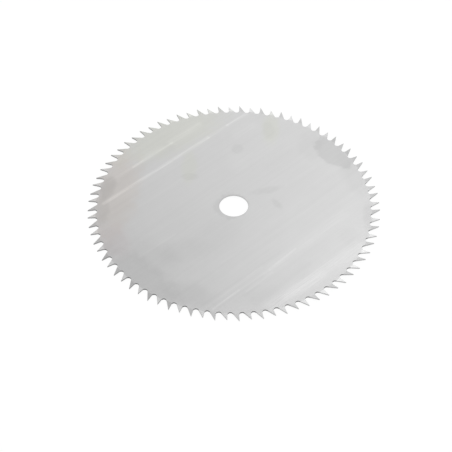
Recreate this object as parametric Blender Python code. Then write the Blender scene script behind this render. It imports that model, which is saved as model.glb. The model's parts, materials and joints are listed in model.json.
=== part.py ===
# Brush cutter blade: a flat steel disc with a round bore and a rim of teeth bent up and down in turn.
# Metres, +Z up. The origin is the centre of the bore, half way through the plate.
# Seen from above the teeth point anticlockwise. Tooth 0 lies on +X and is bent up.

import math

import bmesh
import bpy
from mathutils import Matrix, Vector
from mathutils.geometry import intersect_line_line

# Driving sizes
tip_diameter = 0.255  # across the tooth points
bore_diameter = 0.0254  # clears a 25.4 mm arbor
plate_thickness = 0.0013
tooth_pairs = 40  # each pair is a tooth bent up and a tooth bent down
tooth_depth = 0.0083  # from the points to the bottom of the gullets
gullet_radius = 0.0025  # of the round floor between two teeth
rake_angle = math.radians(1.5)  # how far the front edge leans forward of the radius
tooth_set = 0.00075  # how far a point is bent out of the plate
bend_height = 0.001  # from the bottom of the gullets up to the line where the teeth bend
grind_angle = math.radians(3)  # slant of each gullet's wall across the plate
bore_chamfer = 0.0002

# Facets of the round walls
gullet_steps = 10  # in the floor of one gullet
bore_steps = 3  # along the bore, for each pair of teeth

# Sizes that follow
tip_radius = tip_diameter / 2
root_radius = tip_radius - tooth_depth
bend_radius = root_radius + bend_height
bore_radius = bore_diameter / 2
half_thickness = plate_thickness / 2
pitch = math.pi / tooth_pairs  # the angle from one tooth to the next
grind_turn = half_thickness * math.tan(grind_angle) / tip_radius

top, bottom = 1, -1
set_direction = (top, bottom)  # of the two teeth in a pair
merge_distance = 1e-6


def clear_scene():
    for scene_object in list(bpy.data.objects):
        bpy.data.objects.remove(scene_object, do_unlink=True)


def on_circle(radius, angle):
    return Vector((radius * math.cos(angle), radius * math.sin(angle), 0))


def bent_stretch(line, outward):
    # The stretch of a line of places, from a tooth's point down, that is bent with the tooth.
    # It ends where the line crosses the bend.
    stretch = []
    for near, far in zip(line, line[1:]):
        above = near.dot(outward) - bend_radius
        below = bend_radius - far.dot(outward)
        if below > 0:
            stretch.append(near.lerp(far, above / (above + below)))
            break
        stretch.append(far)
    return stretch


def gullet_outline():
    # The gullet ahead of tooth 0, half way through the plate, in five stretches: the point of tooth 0, the
    # front of that tooth, the floor from bend to bend, the back of the next tooth, and its point.
    near_point = on_circle(tip_radius, -grind_turn)
    far_point = on_circle(tip_radius, pitch + grind_turn)
    front_edge = -on_circle(1, rake_angle)
    forward = on_circle(1, rake_angle + math.pi / 2)

    # The round floor touches the front edge and the root circle.
    start = near_point + forward * gullet_radius
    along = -start.dot(front_edge)
    reach = along**2 - start.length_squared + (root_radius + gullet_radius) ** 2
    centre = start + front_edge * (along - math.sqrt(reach))

    # It runs from the foot of the front edge to where the back of the next tooth touches it.
    to_far_point = far_point - centre
    touch = math.acos(gullet_radius / to_far_point.length)
    first = rake_angle + math.radians(270)
    last = math.atan2(to_far_point.y, to_far_point.x) + touch
    arc = []
    for step in range(gullet_steps + 1):
        arc.append(centre + on_circle(gullet_radius, first + (last - first) * step / gullet_steps))

    front = bent_stretch([near_point, *arc], on_circle(1, 0))
    back = bent_stretch([far_point, *reversed(arc)], on_circle(1, pitch))
    unbent = arc[len(front) - 1 : len(arc) + 1 - len(back)]
    floor = [front[-1], *unbent, back[-1]]
    return [near_point], front[:-1], floor, back[-2::-1], [far_point]


def gullet_at(index, side, outline):
    # Gullets are ground from above and from below in turn, so each tooth is widest, and its point highest,
    # on the face that it is bent towards.
    slant = side * set_direction[index % 2] * grind_turn
    turn = Matrix.Rotation(index * pitch + slant, 3, "Z")
    return [[turn @ place for place in stretch] for stretch in outline]


def bent_tooth(index, side, outline):
    # The outline of the bent part of a tooth on one face, from the back end of its bend line to the front end.
    _, _, floor_behind, back, back_point = gullet_at(index - 1, side, outline)
    front_point, front, floor_ahead, _, _ = gullet_at(index, side, outline)
    back_side = [floor_behind[-1], *back]
    front_side = [*front, floor_ahead[0]]
    point, _ = intersect_line_line(back_side[-1], back_point[0], front_point[0], front_side[0])

    outward = on_circle(1, index * pitch)
    places = [*back_side, point, *front_side]
    for place in places:
        bent = (place.dot(outward) - bend_radius) / (tip_radius - bend_radius)
        place.z = set_direction[index % 2] * tooth_set * bent
    return places


def add_face_of_pair(mesh, side, outline):
    # One face of the plate over a pair of teeth, from the middle of one gullet to the middle of another.
    # Returns its edge along the rim and along the bore.
    def new_verts(places):
        return [mesh.verts.new(place + Vector((0, 0, side * half_thickness))) for place in places]

    floors = [gullet_at(index, side, outline)[2] for index in (-1, 0, 1)]
    middle = len(floors[0]) // 2
    plate = new_verts(floors[0][middle:-1])
    rim = list(plate)
    for index, floor in enumerate((floors[1][1:-1], floors[2][1 : middle + 1])):
        tooth = new_verts(bent_tooth(index, side, outline))
        ground = new_verts(floor)
        mesh.faces.new(tooth)
        plate += [tooth[0], tooth[-1], *ground]
        rim += [*tooth, *ground]

    bore = []
    for step in range(bore_steps + 1):
        bore.append(on_circle(bore_radius, 2 * pitch * step / bore_steps - pitch / 2))
    bore = new_verts(bore)
    mesh.faces.new(plate + bore[::-1])
    return rim, bore


def add_wall(mesh, upper, lower):
    for place in range(len(upper) - 1):
        mesh.faces.new((upper[place], upper[place + 1], lower[place + 1], lower[place]))


def chamfer_bore(mesh):
    corners = []
    for edge in mesh.edges:
        on_bore = all(vert.co.xy.length < bore_radius + merge_distance for vert in edge.verts)
        if on_bore and edge.verts[0].co.z * edge.verts[1].co.z > 0:
            corners.append(edge)
    bmesh.ops.bevel(
        mesh, geom=corners, offset=bore_chamfer, segments=1, profile=0.5, affect="EDGES", material=-1
    )


def steel():
    material = bpy.data.materials.new("ground_steel")
    material.use_nodes = True
    shader = material.node_tree.nodes["Principled BSDF"]
    shader.inputs["Base Color"].default_value = (0.62, 0.62, 0.61, 1)
    shader.inputs["Metallic"].default_value = 1.0
    shader.inputs["Roughness"].default_value = 0.38
    return material


def make_blade():
    mesh = bmesh.new()
    outline = gullet_outline()
    upper_rim, upper_bore = add_face_of_pair(mesh, top, outline)
    lower_rim, lower_bore = add_face_of_pair(mesh, bottom, outline)
    add_wall(mesh, upper_rim, lower_rim)
    add_wall(mesh, lower_bore, upper_bore)

    # The pair is repeated round the disc, and its copies become one body.
    bmesh.ops.spin(
        mesh,
        geom=[*mesh.verts, *mesh.edges, *mesh.faces],
        cent=(0, 0, 0),
        axis=(0, 0, 1),
        angle=2 * pitch * (tooth_pairs - 1),
        steps=tooth_pairs - 1,
        use_duplicate=True,
    )
    bmesh.ops.remove_doubles(mesh, verts=mesh.verts, dist=merge_distance)
    bmesh.ops.recalc_face_normals(mesh, faces=mesh.faces)
    chamfer_bore(mesh)

    data = bpy.data.meshes.new("blade")
    mesh.to_mesh(data)
    mesh.free()
    data.materials.append(steel())
    data.shade_smooth()
    data.set_sharp_from_angle(angle=math.radians(30))
    blade = bpy.data.objects.new("blade", data)
    bpy.context.scene.collection.objects.link(blade)


clear_scene()
make_blade()
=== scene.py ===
import json
import math

import bmesh
import bpy
from mathutils import Matrix, Quaternion, Vector


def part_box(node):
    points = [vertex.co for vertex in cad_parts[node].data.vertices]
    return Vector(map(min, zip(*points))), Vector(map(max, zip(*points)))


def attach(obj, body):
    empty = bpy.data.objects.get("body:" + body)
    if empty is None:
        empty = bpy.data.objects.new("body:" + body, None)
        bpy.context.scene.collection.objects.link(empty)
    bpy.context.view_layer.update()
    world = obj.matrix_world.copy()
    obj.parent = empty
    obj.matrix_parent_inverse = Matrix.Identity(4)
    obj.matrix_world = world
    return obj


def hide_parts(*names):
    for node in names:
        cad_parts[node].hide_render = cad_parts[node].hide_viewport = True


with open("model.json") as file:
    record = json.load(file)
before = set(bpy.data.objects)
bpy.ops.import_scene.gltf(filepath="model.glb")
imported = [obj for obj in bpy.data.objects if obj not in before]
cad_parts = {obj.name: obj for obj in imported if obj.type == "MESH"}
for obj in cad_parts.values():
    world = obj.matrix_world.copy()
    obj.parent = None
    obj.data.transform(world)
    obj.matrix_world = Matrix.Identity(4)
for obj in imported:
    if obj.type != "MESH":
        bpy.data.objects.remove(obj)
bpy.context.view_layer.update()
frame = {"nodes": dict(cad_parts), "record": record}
scene = bpy.context.scene
scene.view_settings.view_transform = "Standard"

# Sizes that the frame gives
lowCorner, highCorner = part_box("blade")
tipRadius = highCorner.x
halfThickness = frame["record"]["mounts"][0]["pos_m"][2]
toothSet = highCorner.z - halfThickness  # how far a point is bent out of the plate
boreRadius = min(vert.co.xy.length for vert in frame["nodes"]["blade"].data.vertices)
print(f"frame: a blade of {2000 * tipRadius:.1f} mm with a bore of {2000 * boreRadius:.1f} mm")

bladeShape = {
    "toothPairs": 40,
    "toothDepth": 0.0083,  # from the points to the bottom of the gullets
    "gulletRadius": 0.0025,
    "rakeDegrees": 1.5,
    "bendHeight": 0.001,  # from the bottom of the gullets up to where the teeth start to bend
    "bendLength": 0.0008,
    "bendCuts": 4,
    "gulletSteps": 14,
    "boreSteps": 3,  # for each tooth
    "plateRings": (0.035, 0.075, 0.105, 0.1165),  # radii of the loops that divide the flat plate
    "boreChamfer": 0.0002,
    "edgeBreak": 0.00005,
    "mergeDistance": 0.000002,
    "sameAngle": 0.0001,  # in radians, within which a wall counts as lying along a radius
    "sharpDegrees": 20,  # edges that turn more than this stay sharp
}
pitch = math.pi / bladeShape["toothPairs"]  # the angle from one tooth to the next
bendRadius = tipRadius - bladeShape["toothDepth"] + bladeShape["bendHeight"]
zAxis = Vector((0, 0, 1))


def onCircle(radius, angle):
    return Vector((radius * math.cos(angle), radius * math.sin(angle), 0))


def gulletArc(point):
    # The round floor of the gullet ahead of the tooth on +X. It touches the tooth's front edge and the
    # root circle, and ends where the straight back of the next tooth touches it.
    rake = math.radians(bladeShape["rakeDegrees"])
    radius = bladeShape["gulletRadius"]
    start = point + onCircle(radius, rake + math.pi / 2)
    inward = -onCircle(1, rake)
    along = -start.dot(inward)
    reach = along**2 - start.length_squared + (tipRadius - bladeShape["toothDepth"] + radius) ** 2
    centre = start + inward * (along - math.sqrt(reach))

    toNextPoint = Matrix.Rotation(pitch, 3, "Z") @ point - centre
    first = rake + 1.5 * math.pi
    last = math.atan2(toNextPoint.y, toNextPoint.x) + math.acos(radius / toNextPoint.length)
    return centre, first, last


def flatTooth(mesh, point):
    # One tooth on +X with its share of the plate, as one face, from the middle of the gullet behind it to
    # the middle of the gullet ahead. Returns the angle at which the gullet ahead is parted.
    centre, first, last = gulletArc(point)
    backTurn = Matrix.Rotation(-pitch, 3, "Z")
    half = (last - first) / 2
    steps = bladeShape["gulletSteps"] // 2
    radius = bladeShape["gulletRadius"]

    tip = mesh.verts.new(point)
    front = mesh.verts.new(centre + onCircle(radius, first))
    back = mesh.verts.new(backTurn @ (centre + onCircle(radius, last)))
    parted = centre + onCircle(radius, first + half)
    partAngle = math.atan2(parted.y, parted.x)
    bore = mesh.verts.new(onCircle(boreRadius, partAngle))
    mesh.edges.new((front, tip))
    mesh.edges.new((tip, back))

    ends = []
    for vert, pivot, angle, count in (
        (front, centre, half, steps),
        (back, backTurn @ centre, -half, steps),
        (bore, Vector(), -pitch, bladeShape["boreSteps"]),
    ):
        swept = bmesh.ops.spin(mesh, geom=[vert], cent=pivot, axis=zAxis, angle=angle, steps=count)
        ends += [item for item in swept["geom_last"] if isinstance(item, bmesh.types.BMVert)]
    mesh.edges.new((ends[0], bore))
    mesh.edges.new((ends[1], ends[2]))
    bmesh.ops.contextual_create(mesh, geom=mesh.edges)
    return partAngle


def cut(mesh, distance, direction):
    everything = [*mesh.verts, *mesh.edges, *mesh.faces]
    bmesh.ops.bisect_plane(mesh, geom=everything, plane_co=direction * distance, plane_no=direction)


def bentTooth(mesh):
    # The tooth on +X as a solid piece of plate, bent up along a soft line.
    cuts = bladeShape["bendCuts"]
    bends = [bendRadius + bladeShape["bendLength"] * step / cuts for step in range(cuts + 1)]
    lever = sum(tipRadius - bend for bend in bends) / len(bends)
    bendAngle = math.asin(toothSet / lever)
    # Bending draws the point in and turns the plate's corner out, so the flat tooth allows for both.
    flatTip = tipRadius + lever * (1 / math.cos(bendAngle) - 1) - halfThickness * math.sin(bendAngle)
    partAngle = flatTooth(mesh, onCircle(flatTip, 0))

    for radius in bladeShape["plateRings"]:
        cut(mesh, radius * math.cos(pitch / 2), onCircle(1, partAngle - pitch / 2))
    cut(mesh, bendRadius - bladeShape["bendLength"] / cuts, onCircle(1, 0))
    for bend in bends:
        cut(mesh, bend, onCircle(1, 0))

    bmesh.ops.translate(mesh, verts=mesh.verts, vec=-halfThickness * zAxis)
    raised = bmesh.ops.extrude_face_region(mesh, geom=mesh.faces)["geom"]
    raised = [item for item in raised if isinstance(item, bmesh.types.BMVert)]
    bmesh.ops.translate(mesh, verts=raised, vec=2 * halfThickness * zAxis)

    # The walls where it parts from its neighbours come off. The others are the filed back of the tooth,
    # which is the third material, and the cut walls, which are the second.
    mesh.normal_update()
    walls = [face for face in mesh.faces if abs(face.normal.z) < 0.5]
    for face in walls:
        onBack = face.normal.y < -0.5 and face.calc_center_median().x > bendRadius
        face.material_index = 2 if onBack else 1
    partings = []
    for face in walls:
        angles = [math.atan2(vert.co.y, vert.co.x) for vert in face.verts]
        alongRadius = max(angles) - min(angles) < bladeShape["sameAngle"]
        if alongRadius and max(vert.co.xy.length for vert in face.verts) < bendRadius:
            partings.append(face)
    bmesh.ops.delete(mesh, geom=partings, context="FACES")

    for bend in reversed(bends):
        beyond = [vert for vert in mesh.verts if vert.co.x > bend + bladeShape["mergeDistance"]]
        turn = Matrix.Rotation(-bendAngle / len(bends), 3, "Y")
        bmesh.ops.rotate(mesh, verts=beyond, cent=(bend, 0, 0), matrix=turn)


def breakEdges(mesh):
    onBore = []
    onRim = []
    for edge in mesh.edges:
        first, second = (face.material_index for face in edge.link_faces)
        if first != second and 0 in (first, second):
            nearBore = edge.verts[0].co.xy.length < 2 * boreRadius
            (onBore if nearBore else onRim).append(edge)
    for edges, width, segments in (
        (onBore, bladeShape["boreChamfer"], 1),
        (onRim, bladeShape["edgeBreak"], 2),
    ):
        bmesh.ops.bevel(
            mesh,
            geom=edges,
            offset=width,
            segments=segments,
            profile=0.5,
            affect="EDGES",
            material=-1,
        )


def makeBlade(materials):
    mesh = bmesh.new()
    bentTooth(mesh)
    print("blade: one tooth has", len(mesh.faces), "faces")

    # The next tooth is the same one bent down.
    copied = bmesh.ops.duplicate(mesh, geom=[*mesh.verts, *mesh.edges, *mesh.faces])["geom"]
    copied = [item for item in copied if isinstance(item, bmesh.types.BMVert)]
    bmesh.ops.scale(mesh, verts=copied, vec=(1, 1, -1))
    bmesh.ops.rotate(mesh, verts=copied, cent=(0, 0, 0), matrix=Matrix.Rotation(pitch, 3, "Z"))

    pairs = bladeShape["toothPairs"]
    bmesh.ops.spin(
        mesh,
        geom=[*mesh.verts, *mesh.edges, *mesh.faces],
        cent=(0, 0, 0),
        axis=zAxis,
        angle=2 * pitch * (pairs - 1),
        steps=pairs - 1,
        use_duplicate=True,
    )
    bmesh.ops.remove_doubles(mesh, verts=mesh.verts, dist=bladeShape["mergeDistance"])
    bmesh.ops.recalc_face_normals(mesh, faces=mesh.faces)
    breakEdges(mesh)
    print("blade:", len(mesh.faces), "faces, open edges:", sum(not edge.is_manifold for edge in mesh.edges))

    data = bpy.data.meshes.new("saw_disc")
    mesh.to_mesh(data)
    mesh.free()
    for material in materials:
        data.materials.append(material)
    data.shade_smooth()
    data.set_sharp_from_angle(angle=math.radians(bladeShape["sharpDegrees"]))
    disc = bpy.data.objects.new("saw_disc", data)
    scene.collection.objects.link(disc)
    return disc


def addNode(tree, kind, inputs=None, **settings):
    node = tree.nodes.new("ShaderNode" + kind)
    for setting, value in settings.items():
        setattr(node, setting, value)
    for name, value in (inputs or {}).items():
        if isinstance(value, bpy.types.NodeSocket):
            tree.links.new(value, node.inputs[name])
        else:
            node.inputs[name].default_value = value
    return node


def addGroup(tree, group, inputs):
    return addNode(tree, "Group", inputs, node_tree=group).outputs[0]


def addShare(tree, mask, share, level):
    # The level with a share of the mask on top
    return addNode(tree, "Math", {0: mask, 1: share, 2: level}, operation="MULTIPLY_ADD").outputs[0]


def newMaterial(name):
    material = bpy.data.materials.new(name)
    material.use_nodes = True
    return material, material.node_tree


def newGroup(name, inputs, output):
    # A node group with the inputs given as name and kind, and one number as its output
    group = bpy.data.node_groups.new(name, "ShaderNodeTree")
    for socket, kind in inputs.items():
        group.interface.new_socket(socket, in_out="INPUT", socket_type="NodeSocket" + kind)
    group.interface.new_socket(output, in_out="OUTPUT", socket_type="NodeSocketFloat")
    given = group.nodes.new("NodeGroupInput").outputs
    made = group.nodes.new("NodeGroupOutput").inputs[0]
    return group, given, made


steelFinish = {
    "colour": (0.62, 0.62, 0.62),
    "roughness": 0.30,
    "smootherShare": 0.08,  # how much smoother the steel is where it is lighter
    "grainDegrees": 45,  # direction of the grinding lines, from +X
    "lineSize": (0.03, 0.00035),  # length and width of the fine lines
    "bandSize": (0.15, 0.0035),
    "mottleScale": 28,
    "lineShare": 0.08,  # how much lighter or darker each makes the steel
    "bandShare": 0.07,
    "mottleShare": 0.05,
    "lineDepth": 0.000012,
    "streakFade": 1.6,  # half widths from the middle of a streak to where it has faded out
    "scratchRange": (0.32, 0.68),  # of the fine lines, over which they break up the streaks
    "patchEdgeScale": 90,  # of the noise that makes a patch's edge ragged
    "patchRaggedness": 0.9,
    "cutColour": (0.30, 0.30, 0.30),
    "filedColour": (0.50, 0.50, 0.50),
    # Painted shade in the round floors of the gullets
    "gulletShadeColour": (0.14, 0.14, 0.14),
    "gulletShadeHeights": (-0.0005, 0.0012),  # from the bend line to where the painted shade starts to fade, and ends
    "boreColour": (0.60, 0.60, 0.60),
    "cutRoughness": 0.40,
    "cutSmootherShare": 0.2,
    "cutLineSize": (0.004, 0.00015),
    "cutLineShare": 0.5,
    # Streaks and painted sheen on the upper face: start, end, half width, how much lighter or, below 0,
    # darker
    "streaksAndSheen": (
        ((-0.1138, -0.0021), (-0.0270, 0.0845), 0.0019, 0.115),
        ((-0.0270, 0.0845), (-0.0100, 0.1015), 0.0018, 0.045),
        ((-0.0100, 0.1015), (0.0068, 0.1177), 0.0018, 0.095),
        ((-0.1120, 0.0245), (-0.0840, 0.0525), 0.0014, 0.035),
        ((-0.0920, 0.0440), (-0.0595, 0.0765), 0.0016, 0.085),
        ((-0.0847, 0.0536), (-0.0690, 0.0690), 0.0035, 0.030),
        ((-0.0600, 0.0770), (-0.0365, 0.1015), 0.0038, 0.055),
        ((-0.1005, 0.0297), (-0.0583, 0.0725), 0.0024, -0.030),
        ((-0.1010, 0.0233), (-0.0587, 0.0658), 0.0050, -0.018),
        ((0.0000, 0.0900), (0.0120, 0.1020), 0.0060, 0.022),
        # These two broad ones at the lower right are painted sheen.
        ((0.0360, -0.1110), (0.1090, -0.0430), 0.0070, 0.065),
        ((0.0480, -0.1000), (0.0770, -0.0760), 0.0050, 0.040),
        ((0.0210, -0.1060), (0.0650, -0.0650), 0.0045, -0.022),
        ((-0.0120, -0.1165), (0.0080, -0.0956), 0.0011, 0.060),
        ((0.0080, -0.0956), (0.0326, -0.0722), 0.0010, 0.035),
        ((0.0326, -0.0722), (0.0545, -0.0480), 0.0012, 0.050),
        ((0.0145, -0.0965), (0.0354, -0.0750), 0.0010, 0.045),
        ((-0.0163, -0.1138), (0.0265, -0.0690), 0.0018, 0.022),
        ((-0.0219, -0.1138), (0.0410, -0.0523), 0.0016, -0.020),
        ((-0.0085, -0.1160), (0.0281, -0.0790), 0.0008, -0.020),
        ((0.0134, -0.1011), (0.0248, -0.0898), 0.0015, -0.030),
        # This broad one at the lower right is painted sheen as well.
        ((0.0300, -0.0750), (0.0950, -0.0080), 0.0055, 0.028),
        ((0.0580, -0.0467), (0.0680, -0.0368), 0.0016, 0.025),
        ((0.0010, 0.0520), (0.0300, 0.0820), 0.0100, 0.016),
        ((-0.0780, -0.0632), (-0.0492, -0.0358), 0.0012, 0.022),
    ),
    # Stains and painted shade on the upper face: centre, half length and width, turn in degrees, softness,
    # how much darker
    "stainsAndShade": (
        ((0.0897, 0.0708), (0.0230, 0.0148), -47, 0.12, 0.105),
        # This one is painted shade along the right rim.
        ((0.1090, 0.0400), (0.0260, 0.0125), 111, 0.50, 0.040),
        ((-0.1125, 0.0175), (0.0130, 0.0065), 80, 0.35, 0.110),
        ((-0.1145, -0.0100), (0.0160, 0.0060), 95, 0.40, 0.070),
        ((-0.1180, -0.0120), (0.0750, 0.0320), 95, 0.70, 0.035),
        ((-0.1010, -0.0450), (0.0140, 0.0100), 115, 0.30, 0.030),
        ((-0.0730, -0.0850), (0.0400, 0.0150), -42, 0.40, 0.080),
        ((-0.0320, -0.1020), (0.0220, 0.0115), -18, 0.60, 0.070),
        ((0.0290, -0.0990), (0.0200, 0.0080), 15, 0.50, 0.025),
        ((-0.0640, -0.0620), (0.0260, 0.0140), -30, 0.50, 0.045),
        ((-0.0400, -0.0540), (0.0210, 0.0120), 10, 0.45, 0.036),
        ((-0.0120, -0.0330), (0.0240, 0.0150), 45, 0.50, 0.028),
        ((-0.0408, 0.0340), (0.0080, 0.0042), 0, 0.25, 0.048),
        ((0.0005, 0.0710), (0.0060, 0.0055), 90, 0.25, 0.048),
        ((0.0278, 0.0960), (0.0110, 0.0055), 90, 0.25, 0.030),
        ((0.0290, 0.0200), (0.0130, 0.0038), 18, 0.45, 0.055),
        ((0.0378, 0.0035), (0.0065, 0.0028), -55, 0.45, 0.058),
        # This one darkens a ring round the bore.
        ((-0.0016, -0.0002), (0.0150, 0.0150), 0, 0.12, 0.065),
        ((0.1175, -0.0090), (0.0150, 0.0048), 90, 0.50, 0.065),
        ((0.1000, -0.0330), (0.0110, 0.0070), 90, 0.50, 0.022),
        ((0.0660, 0.0800), (0.0200, 0.0110), 90, 0.30, 0.028),
    ),
    # Discoloured patches on the upper face: the same, but with a colour in place of how much darker
    "tints": (
        ((-0.104, 0.012), (0.050, 0.0180), 86, 0.45, (1.0, 0.962, 0.933)),
        ((-0.100, -0.045), (0.020, 0.0120), 112, 0.45, (1.0, 0.972, 0.975)),
        ((-0.062, 0.088), (0.052, 0.0230), 36, 0.45, (0.992, 1.0, 0.950)),
        ((0.030, 0.098), (0.020, 0.0075), 90, 0.40, (0.992, 1.0, 0.955)),
        ((-0.042, 0.045), (0.018, 0.0070), 90, 0.40, (0.992, 1.0, 0.960)),
    ),
}


def grindingLines():
    # Fine lines along the X axis that the pattern is turned to, from 0 to 1 and mostly about a half
    inputs = {"Vector": "Vector", "Turn": "Vector", "Length": "Float", "Width": "Float", "Detail": "Float"}
    group, given, made = newGroup("grinding_lines", inputs, "Lines")
    turned = addNode(
        group,
        "VectorRotate",
        {"Vector": given["Vector"], "Rotation": given["Turn"]},
        rotation_type="EULER_XYZ",
        invert=True,
    )
    size = addNode(group, "CombineXYZ", {"X": given["Length"], "Y": given["Width"], "Z": given["Width"]})
    place = addNode(group, "VectorMath", {0: turned.outputs[0], 1: size.outputs[0]}, operation="DIVIDE")
    noise = addNode(
        group,
        "TexNoise",
        {"Vector": place.outputs[0], "Scale": 1, "Detail": given["Detail"], "Roughness": 0.6},
    )
    group.links.new(noise.outputs["Fac"], made)
    return group


def rubbedStreakAndSheen():
    # A soft straight streak between two places, 1 along its middle and 0 beyond its width on each side
    inputs = {"Vector": "Vector", "Start": "Vector", "End": "Vector", "Width": "Float"}
    group, given, made = newGroup("rubbed_streak_and_sheen", inputs, "Mask")
    reach = addNode(group, "VectorMath", {0: given["Vector"], 1: given["Start"]}, operation="SUBTRACT")
    line = addNode(group, "VectorMath", {0: given["End"], 1: given["Start"]}, operation="SUBTRACT")
    along = addNode(group, "VectorMath", {0: reach.outputs[0], 1: line.outputs[0]}, operation="DOT_PRODUCT")
    whole = addNode(group, "VectorMath", {0: line.outputs[0], 1: line.outputs[0]}, operation="DOT_PRODUCT")
    share = addNode(
        group,
        "Math",
        {0: along.outputs["Value"], 1: whole.outputs["Value"]},
        operation="DIVIDE",
        use_clamp=True,
    )
    nearest = addNode(
        group, "VectorMath", {0: line.outputs[0], "Scale": share.outputs[0]}, operation="SCALE"
    )
    away = addNode(group, "VectorMath", {0: reach.outputs[0], 1: nearest.outputs[0]}, operation="DISTANCE")
    mask = addNode(
        group,
        "MapRange",
        {
            "Value": away.outputs["Value"],
            "From Min": 0,
            "From Max": given["Width"],
            "To Min": 1,
            "To Max": 0,
        },
        interpolation_type="SMOOTHERSTEP",
    )
    group.links.new(mask.outputs[0], made)
    return group


def ovalPatch():
    # An oval patch with a ragged edge, 1 inside and 0 outside
    inputs = {
        "Vector": "Vector",
        "Centre": "Vector",
        "Size": "Vector",
        "Turn": "Float",
        "Softness": "Float",
    }
    group, given, made = newGroup("oval_patch", inputs, "Mask")
    turned = addNode(
        group,
        "VectorRotate",
        {"Vector": given["Vector"], "Center": given["Centre"], "Angle": given["Turn"]},
        rotation_type="Z_AXIS",
        invert=True,
    )
    reach = addNode(group, "VectorMath", {0: turned.outputs[0], 1: given["Centre"]}, operation="SUBTRACT")
    oval = addNode(group, "VectorMath", {0: reach.outputs[0], 1: given["Size"]}, operation="DIVIDE")
    away = addNode(group, "VectorMath", {0: oval.outputs[0]}, operation="LENGTH")
    noise = addNode(
        group,
        "TexNoise",
        {"Vector": given["Vector"], "Scale": steelFinish["patchEdgeScale"], "Detail": 4, "Roughness": 0.6},
    )
    raggedness = steelFinish["patchRaggedness"]
    ragged = addShare(group, noise.outputs["Fac"], raggedness, away.outputs["Value"])
    edge = 1 + raggedness / 2
    inner = addNode(group, "Math", {0: edge, 1: given["Softness"]}, operation="SUBTRACT")
    outer = addNode(group, "Math", {0: edge, 1: given["Softness"]}, operation="ADD")
    mask = addNode(
        group,
        "MapRange",
        {
            "Value": ragged,
            "From Min": inner.outputs[0],
            "From Max": outer.outputs[0],
            "To Min": 1,
            "To Max": 0,
        },
        interpolation_type="SMOOTHSTEP",
    )
    group.links.new(mask.outputs[0], made)
    return group


def finishSteel(tree, colour, level, lines, roughness, smoother):
    # Puts the colour, the roughness and the relief of the fine lines on the shader
    shader = tree.nodes["Principled BSDF"]
    tree.links.new(colour, shader.inputs["Base Color"])
    shader.inputs["Metallic"].default_value = 1
    rough = addShare(tree, level, -smoother, roughness + smoother)
    tree.links.new(rough, shader.inputs["Roughness"])
    bump = addNode(tree, "Bump", {"Height": lines, "Strength": 1, "Distance": steelFinish["lineDepth"]})
    tree.links.new(bump.outputs[0], shader.inputs["Normal"])


def plateSteel(linesGroup, streakAndSheenGroup, patchGroup):
    material, tree = newMaterial("plate_steel")
    place = addNode(tree, "TexCoord").outputs["Object"]

    def grain(size):
        turn = (0, 0, math.radians(steelFinish["grainDegrees"]))
        inputs = {"Vector": place, "Turn": turn, "Length": size[0], "Width": size[1], "Detail": 3}
        return addGroup(tree, linesGroup, inputs)

    lines = grain(steelFinish["lineSize"])
    bands = grain(steelFinish["bandSize"])
    mottle = addNode(
        tree,
        "TexNoise",
        {"Vector": place, "Scale": steelFinish["mottleScale"], "Detail": 5, "Roughness": 0.6},
    )
    shares = steelFinish["lineShare"], steelFinish["bandShare"], steelFinish["mottleShare"]
    level = addShare(tree, lines, shares[0], 1 - sum(shares) / 2)
    level = addShare(tree, bands, shares[1], level)
    level = addShare(tree, mottle.outputs["Fac"], shares[2], level)

    # The streaks and painted sheen, the stains and painted shade, and the patches are on the upper face
    # alone.
    split = addNode(tree, "SeparateXYZ", {0: place})
    upper = addNode(tree, "Math", {0: split.outputs["Z"], 1: 0}, operation="GREATER_THAN").outputs[0]
    flat = addNode(tree, "CombineXYZ", {"X": split.outputs["X"], "Y": split.outputs["Y"]}).outputs[0]

    def patchMask(centre, size, degrees, softness):
        inputs = {"Vector": flat, "Centre": (*centre, 0), "Size": (*size, 1)}
        inputs |= {"Turn": math.radians(degrees), "Softness": softness}
        return addGroup(tree, patchGroup, inputs)

    marksAndPaintedLight = 0
    for start, end, halfWidth, lighter in steelFinish["streaksAndSheen"]:
        width = steelFinish["streakFade"] * halfWidth
        inputs = {"Vector": flat, "Start": (*start, 0), "End": (*end, 0), "Width": width}
        marksAndPaintedLight = addShare(tree, addGroup(tree, streakAndSheenGroup, inputs), lighter, marksAndPaintedLight)
    low, high = steelFinish["scratchRange"]
    scratched = addNode(
        tree, "MapRange", {"Value": lines, "From Min": low, "From Max": high, "To Min": 0, "To Max": 2}
    )
    marksAndPaintedLight = addNode(tree, "Math", {0: marksAndPaintedLight, 1: scratched.outputs[0]}, operation="MULTIPLY").outputs[0]
    for *patch, darker in steelFinish["stainsAndShade"]:
        marksAndPaintedLight = addShare(tree, patchMask(*patch), -darker, marksAndPaintedLight)
    level = addShare(tree, marksAndPaintedLight, upper, level)

    colour = addNode(
        tree, "VectorMath", {0: steelFinish["colour"], "Scale": level}, operation="SCALE"
    ).outputs[0]
    for *patch, tint in steelFinish["tints"]:
        mask = addNode(tree, "Math", {0: patchMask(*patch), 1: upper}, operation="MULTIPLY").outputs[0]
        inputs = {"Fac": mask, "Color1": colour, "Color2": (*tint, 1)}
        colour = addNode(tree, "MixRGB", inputs, blend_type="MULTIPLY").outputs[0]

    finishSteel(tree, colour, level, lines, steelFinish["roughness"], steelFinish["smootherShare"])
    return material


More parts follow.
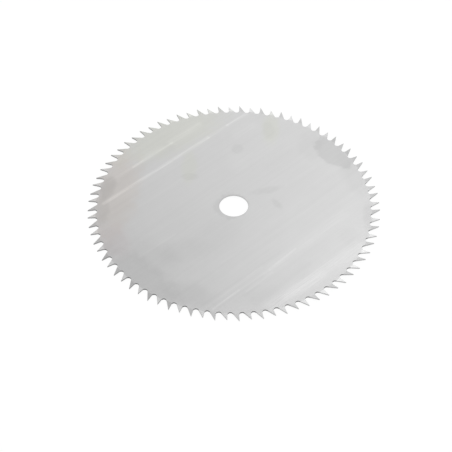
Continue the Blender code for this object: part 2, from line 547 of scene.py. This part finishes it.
def wallSteel(name, rimColour, linesGroup):
    # A wall that was cut across the plate, with painted shade darkest in the round floors of the gullets,
    # and light in the bore
    material, tree = newMaterial(name)
    place = addNode(tree, "TexCoord").outputs["Object"]
    length, width = steelFinish["cutLineSize"]
    lines = addGroup(
        tree,
        linesGroup,
        {"Vector": place, "Turn": (0, math.pi / 2, 0), "Length": length, "Width": width, "Detail": 2},
    )
    share = steelFinish["cutLineShare"]
    level = addShare(tree, lines, share, 1 - share / 2)

    radius = addNode(tree, "VectorMath", {0: place}, operation="LENGTH").outputs["Value"]
    # Painted shade: dark in the floors of the gullets, fading out above them
    low, high = (bendRadius + height for height in steelFinish["gulletShadeHeights"])
    unshaded = addNode(tree, "MapRange", {"Value": radius, "From Min": low, "From Max": high}).outputs[0]
    gullet = (*steelFinish["gulletShadeColour"], 1)
    rim = addNode(tree, "MixRGB", {"Fac": unshaded, "Color1": gullet, "Color2": (*rimColour, 1)}).outputs[0]
    inBore = addNode(tree, "Math", {0: radius, 1: 2 * boreRadius}, operation="LESS_THAN").outputs[0]
    bore = (*steelFinish["boreColour"], 1)
    colour = addNode(tree, "MixRGB", {"Fac": inBore, "Color1": rim, "Color2": bore}).outputs[0]
    colour = addNode(tree, "VectorMath", {0: colour, "Scale": level}, operation="SCALE").outputs[0]

    finishSteel(tree, colour, level, lines, steelFinish["cutRoughness"], steelFinish["cutSmootherShare"])
    return material


studio = {
    "floorSize": 8.0,
    "floorColour": (0.86, 0.86, 0.86),
    "shadowShare": 0.15,  # of the floor's shadow that the camera sees
    "floorGlow": 1.08,
    "worldLevel": 0.65,
    "panelSize": 0.9,
    "panelDistance": 2.5,
    "panels": (  # direction from +X and height above the floor in degrees, brightness
        ("back_panel", 90, 25, 0.79),
        ("back_left_panel", 105, 40, 0.31),
        ("back_right_panel", 75, 40, 0.30),
        ("upper_right_panel", 75, 55, 0.44),
        ("side_panel", 55, 55, 0.86),
        ("top_panel", 75, 72, 0.24),
    ),
}


def makeFloor():
    mesh = bmesh.new()
    bmesh.ops.create_grid(mesh, x_segments=1, y_segments=1, size=studio["floorSize"] / 2)
    bmesh.ops.translate(mesh, verts=mesh.verts, vec=(0, 0, lowCorner.z))
    data = bpy.data.meshes.new("studio_floor")
    mesh.to_mesh(data)
    mesh.free()
    floor = bpy.data.objects.new("studio_floor", data)
    scene.collection.objects.link(floor)

    material, tree = newMaterial("floor_white")
    shader = tree.nodes["Principled BSDF"]
    shader.inputs["Base Color"].default_value = (*studio["floorColour"], 1)
    shader.inputs["Roughness"].default_value = 0.9
    path = addNode(tree, "LightPath")
    seen = addNode(
        tree,
        "Math",
        {0: path.outputs["Is Camera Ray"], 1: path.outputs["Is Glossy Ray"]},
        operation="ADD",
        use_clamp=True,
    )
    share = addNode(tree, "Math", {0: seen.outputs[0], 1: 1 - studio["shadowShare"]}, operation="MULTIPLY")
    glow = addNode(tree, "Emission", {"Color": (1, 1, 1, 1), "Strength": studio["floorGlow"]})
    mix = addNode(tree, "MixShader", {"Fac": share.outputs[0], 1: shader.outputs[0], 2: glow.outputs[0]})
    tree.links.new(mix.outputs[0], tree.nodes["Material Output"].inputs["Surface"])
    data.materials.append(material)


def makeWorld():
    world = bpy.data.worlds.new("studio_light")
    scene.world = world
    world.use_nodes = True
    tree = world.node_tree
    background = tree.nodes["Background"]
    path = addNode(tree, "LightPath")
    seen = path.outputs["Is Camera Ray"]
    level = addNode(tree, "Mix", {"Factor": seen, "A": studio["worldLevel"], "B": 1.0})
    tree.links.new(level.outputs[0], background.inputs["Strength"])
    background.inputs["Color"].default_value = (1, 1, 1, 1)


def makePanels():
    for name, direction, height, brightness in studio["panels"]:
        data = bpy.data.lights.new(name, "AREA")
        data.size = studio["panelSize"]
        data.energy = brightness * math.pi * data.size**2
        panel = bpy.data.objects.new(name, data)
        level = onCircle(math.cos(math.radians(height)), math.radians(direction))
        away = level + math.sin(math.radians(height)) * zAxis
        panel.location = away * studio["panelDistance"]
        panel.rotation_mode = "QUATERNION"
        panel.rotation_quaternion = away.to_track_quat("Z", "Y")
        panel.visible_camera = False
        scene.collection.objects.link(panel)


cameraSetup = {
    "azimuthDegrees": 2.42,  # round the blade, from -Y towards +X
    "elevationDegrees": 46.8,
    "distance": 1.2024,
    "lens": 109.6,
    "aimRight": -0.00678,  # from the middle of the bore to the middle of the picture
    "aimUp": -0.01731,
    "rollDegrees": -0.44,
}


def makeCamera():
    azimuth = math.radians(cameraSetup["azimuthDegrees"])
    elevation = math.radians(cameraSetup["elevationDegrees"])
    right = Vector((math.cos(azimuth), math.sin(azimuth), 0))
    back = math.cos(elevation) * Vector((right.y, -right.x, 0)) + math.sin(elevation) * zAxis
    up = back.cross(right)
    data = bpy.data.cameras.new("camera")
    data.lens = cameraSetup["lens"]
    camera = bpy.data.objects.new("camera", data)
    camera.location = back * cameraSetup["distance"]
    aim = right * cameraSetup["aimRight"] + up * cameraSetup["aimUp"]
    look = (aim - camera.location).to_track_quat("-Z", "Y")
    camera.rotation_mode = "QUATERNION"
    camera.rotation_quaternion = look @ Quaternion((0, 0, 1), math.radians(cameraSetup["rollDegrees"]))
    scene.collection.objects.link(camera)
    scene.camera = camera


makeCamera()
makeWorld()
makePanels()
makeFloor()
print("studio: camera, world and floor are set")

linesGroup = grindingLines()
plate = plateSteel(linesGroup, rubbedStreakAndSheen(), ovalPatch())
print("materials: the plate has", len(plate.node_tree.nodes), "nodes")
cutWall = wallSteel("cut_steel", steelFinish["cutColour"], linesGroup)
filedWall = wallSteel("filed_steel", steelFinish["filedColour"], linesGroup)
disc = makeBlade([plate, cutWall, filedWall])
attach(disc, "root")
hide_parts("blade")
